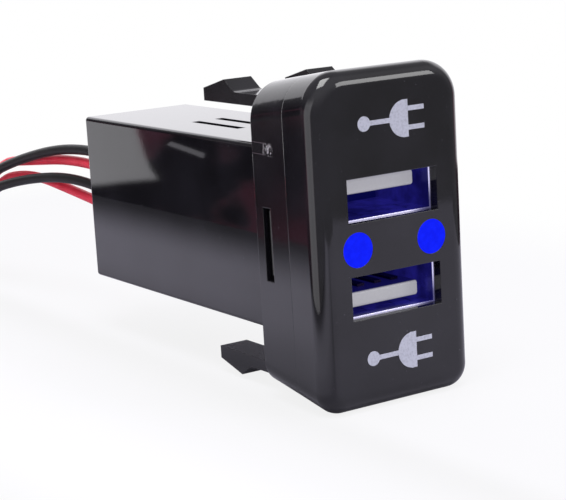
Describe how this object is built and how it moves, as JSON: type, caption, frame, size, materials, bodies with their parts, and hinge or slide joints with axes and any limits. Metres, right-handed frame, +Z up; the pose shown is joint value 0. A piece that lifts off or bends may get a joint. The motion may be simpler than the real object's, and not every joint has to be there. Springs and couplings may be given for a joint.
{
  "type": "car dual usb socket",
  "caption": "Snap-in dashboard charging socket with stacked plug openings and indicator lamps in a rounded bezel, a deep rear case and wire leads.",
  "frame": {"origin": "centre of the mount collar's back face, which seats on the ledge behind the dashboard opening", "axes": "+X to the right as seen from the front, +Y back into the dashboard, +Z up"},
  "size_m": [0.0326, 0.1351, 0.0386],
  "materials": {
    "black_gloss": "gloss moulded",
    "black_satin": "satin to gloss moulded",
    "lens_blue": "lit translucent",
    "shell_steel": "nickel plated sheet",
    "tongue_white": "moulded",
    "block_blue": "moulded",
    "contact_gold": "gold plated",
    "riser_black": "moulded",
    "led_clear": "clear resin",
    "leg_tin": "tinned",
    "board_green": "solder mask",
    "can_aluminium": "drawn can",
    "ferrite": "sintered",
    "winding_copper": "enamelled wire",
    "chip_black": "moulded",
    "fuse_white": "ceramic",
    "potting_black": "potting compound",
    "wire_red": "soft vinyl",
    "wire_black": "soft vinyl",
    "tie_black": "nylon"
  },
  "bodies": {
    "root": {"front_bezel": "black_gloss", "mount_collar": "black_satin", "rear_case": "black_satin", "left_indicator_lens": "lens_blue", "right_indicator_lens": "lens_blue", "left_led": "led_clear", "right_led": "led_clear", "led_legs": "leg_tin", "circuit_board": "board_green", "input_capacitor": "can_aluminium", "output_capacitor": "can_aluminium", "inductor_core": "ferrite", "inductor_winding": "winding_copper", "converter_chip": "chip_black", "rectifier_diode": "chip_black", "input_fuse": "fuse_white", "lead_potting": "potting_black", "black_lead_upper": "wire_black", "black_lead_lower": "wire_black", "red_lead_upper": "wire_red", "red_lead_lower": "wire_red", "lead_coil": "wire_black", "lead_tie": "tie_black", "upper_socket_shell": "shell_steel", "upper_socket_tongue": "tongue_white", "upper_socket_block": "block_blue", "upper_socket_contacts": "contact_gold", "upper_socket_riser": "riser_black", "lower_socket_shell": "shell_steel", "lower_socket_tongue": "tongue_white", "lower_socket_block": "block_blue", "lower_socket_contacts": "contact_gold", "lower_socket_riser": "riser_black"}
  },
  "joints": []
}
